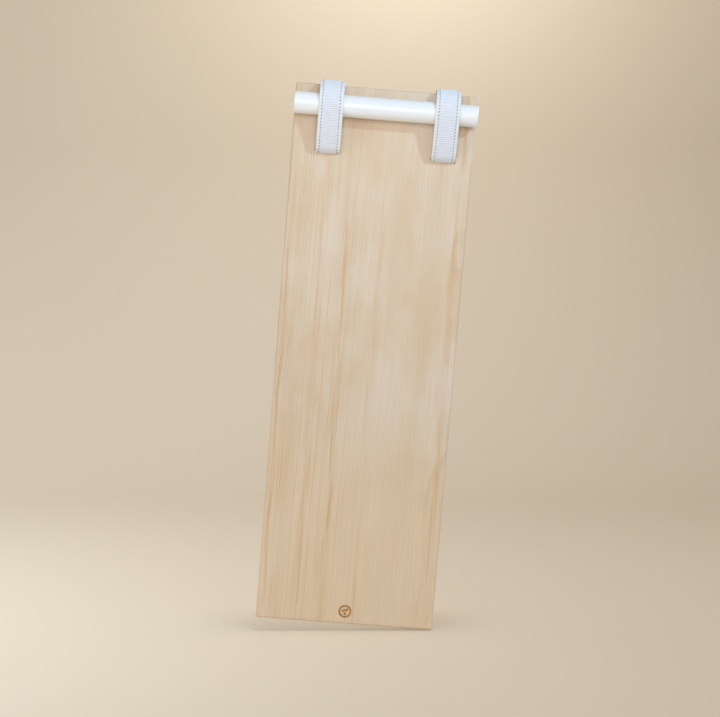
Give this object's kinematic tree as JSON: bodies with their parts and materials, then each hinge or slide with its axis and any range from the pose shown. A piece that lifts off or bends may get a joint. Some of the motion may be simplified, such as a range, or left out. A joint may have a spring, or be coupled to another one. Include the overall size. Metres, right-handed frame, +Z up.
{
  "type": "seesaw board",
  "caption": "Flat wooden seesaw board for a climbing frame, with a round cross bar held across its upper end by sewn strap loops.",
  "frame": {"origin": "middle of the board's flat foot edge", "axes": "+X to the right across the board, +Y out of the board's back, +Z up the board's length to the end with the bar"},
  "size_m": [0.3, 0.063, 0.9076],
  "materials": {
    "pale_wood": "clear matt lacquer over straight-grained pale wood",
    "white_paint": "smooth satin white paint over a wooden rod",
    "cream_webbing": "close flat weave, matt",
    "white_ribbing": "cross-ribbed band, slight sheen",
    "grey_thread": "twisted sewing thread",
    "bright_steel": "nickel-plated, satin",
    "zinc_steel": "zinc-plated"
  },
  "bodies": {
    "pivot_bar": {"cross_bar": "white_paint"},
    "seesaw_board": {"board": "pale_wood", "left_strap": "cream_webbing", "left_ribbed_band": "white_ribbing", "left_strap_outer_stitching": "grey_thread", "left_strap_inner_stitching": "grey_thread", "left_strap_washers": "bright_steel", "left_strap_screws": "zinc_steel", "right_strap": "cream_webbing", "right_ribbed_band": "white_ribbing", "right_strap_outer_stitching": "grey_thread", "right_strap_inner_stitching": "grey_thread", "right_strap_washers": "bright_steel", "right_strap_screws": "zinc_steel"}
  },
  "joints": [
    {"name": "board_swing", "type": "hinge", "parent": "pivot_bar", "child": "seesaw_board", "pos_m": [0, -0.02735, 0.8665], "axis": [1, 0, 0], "continuous": true}
  ]
}
